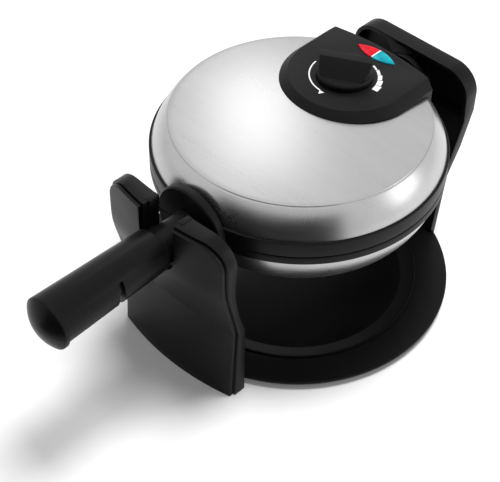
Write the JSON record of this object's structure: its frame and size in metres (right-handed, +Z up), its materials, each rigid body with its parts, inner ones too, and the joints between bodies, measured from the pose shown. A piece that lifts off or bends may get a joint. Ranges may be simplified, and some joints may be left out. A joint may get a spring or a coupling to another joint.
{
  "type": "flip-over waffle maker",
  "caption": "Round flip-over waffle maker: steel-clad iron turning between a front post and a rear tower, rear-hinged lid with dial, long grip, lift-out drip tray.",
  "frame": {"origin": "on the table, under the iron's upright axis, at the middle foot pad", "axes": "+Z up, +Y towards the rear tower, -Y along the handle, X across"},
  "size_m": [0.236, 0.3705, 0.1792],
  "materials": {
    "black_plastic": "satin black moulded plastic",
    "brushed_steel": "brushed stainless sheet",
    "nonstick_plate": "cast aluminium with a dark non-stick coat",
    "steel_hardware": "plain turned steel",
    "reflector_sheet": "bright sheet",
    "black_metal": "satin black paint",
    "bush_brass": "turned, oiled",
    "foot_rubber": "moulded",
    "red_lens": "tinted clear lens",
    "cyan_lens": "tinted clear lens",
    "thermostat_body": "heat-proof moulded body"
  },
  "bodies": {
    "stand": {"stand_base": "black_plastic", "front_post_shell": "black_plastic", "front_post_cover": "black_plastic", "front_saddle": "black_plastic", "rear_tower_shell": "black_plastic", "rear_bush": "bush_brass", "bearing_cap": "black_plastic", "cap_screws": "steel_hardware", "rubber_feet": "foot_rubber", "cord_gland": "black_plastic"},
    "drip_tray": {"drip_tray": "black_metal"},
    "iron": {"lower_dome": "brushed_steel", "lower_rim": "black_plastic", "lower_plate": "nonstick_plate", "lower_heater": "steel_hardware", "lower_reflector": "reflector_sheet", "lower_standoffs": "steel_hardware", "lower_plate_screws": "steel_hardware", "lower_collar": "black_plastic", "lower_grip": "black_plastic", "handle_core": "steel_hardware", "rear_yoke": "black_metal", "rear_trunnion": "steel_hardware", "trunnion_clip": "steel_hardware", "hinge_pin": "steel_hardware"},
    "handle_lock": {"handle_lock": "black_plastic"},
    "lid": {"upper_dome": "brushed_steel", "upper_rim": "black_plastic", "upper_plate": "nonstick_plate", "upper_heater": "steel_hardware", "upper_reflector": "reflector_sheet", "upper_standoffs": "steel_hardware", "upper_plate_screws": "steel_hardware", "upper_collar": "black_plastic", "upper_grip": "black_plastic", "hinge_leaf": "steel_hardware", "control_panel": "black_plastic", "power_lens": "red_lens", "ready_lens": "cyan_lens", "lamp_holder": "black_plastic", "thermostat": "thermostat_body"},
    "knob": {"dial_knob": "black_plastic", "knob_shaft": "steel_hardware"}
  },
  "joints": [
    {"name": "iron_turn", "type": "hinge", "parent": "stand", "child": "iron", "pos_m": [0, 0, 0.12], "axis": [0, -1, 0], "range_deg": [-180, 0]},
    {"name": "lid_open", "type": "hinge", "parent": "iron", "child": "lid", "pos_m": [0, 0.107, 0.138], "axis": [-1, 0, 0], "range_deg": [0, 90]},
    {"name": "knob_turn", "type": "hinge", "parent": "lid", "child": "knob", "pos_m": [0, 0.0455, 0.163], "axis": [0, 0, 1], "range_deg": [0, 170]},
    {"name": "handle_lock_slide", "type": "slide", "parent": "iron", "child": "handle_lock", "axis": [0, 1, 0], "range_m": [0, 0.005]},
    {"name": "tray_lift", "type": "slide", "parent": "stand", "child": "drip_tray", "axis": [0, 0, 1], "range_m": [0, 0.012]}
  ]
}
